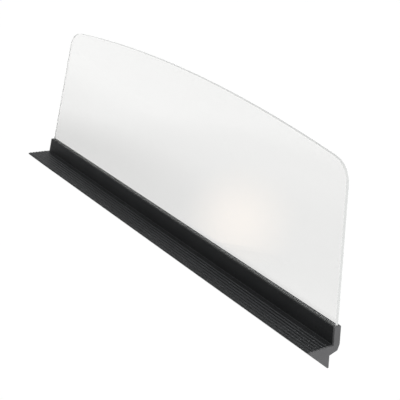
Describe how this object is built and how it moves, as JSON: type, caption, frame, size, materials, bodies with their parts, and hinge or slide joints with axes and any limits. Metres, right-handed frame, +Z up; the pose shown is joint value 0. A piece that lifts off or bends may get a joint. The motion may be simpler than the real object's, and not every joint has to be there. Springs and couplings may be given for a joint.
{
  "type": "sneeze guard",
  "caption": "Long low counter-edge sneeze guard: clear arched panel clamped in a black rail with a ribbed ledge in front and a drop leg that hooks on the counter.",
  "frame": {"origin": "on the back face of the drop leg, midway along the rail and level with the fixing screws", "axes": "+X along the rail, +Y to the rear, towards the counter, +Z up"},
  "size_m": [0.9256, 0.0684, 0.3499],
  "materials": {
    "rail": "black anodised, satin",
    "panel": "clear cast acrylic with polished edges",
    "gasket": "extruded, matte",
    "strip": "etched and clear anodised, matt",
    "blocks": "cut strip, matte",
    "screws": "black oxide",
    "caps": "moulded, fine texture",
    "seals": "closed-cell foam"
  },
  "bodies": {
    "rail_assembly": {"rail": "rail", "front_gasket": "gasket", "pressure_strip": "strip", "setting_block_1": "blocks", "setting_block_2": "blocks", "setting_block_3": "blocks", "clamp_screw_1": "screws", "clamp_screw_2": "screws", "clamp_screw_3": "screws", "clamp_screw_4": "screws", "clamp_screw_5": "screws", "left_end_cap": "caps", "right_end_cap": "caps", "leg_seal": "seals", "shoulder_seal": "seals"},
    "panel": {"panel": "panel"}
  },
  "joints": [
    {"name": "panel_lift", "type": "slide", "parent": "rail_assembly", "child": "panel", "axis": [0, 0, 1], "range_m": [0, 0.045]}
  ]
}
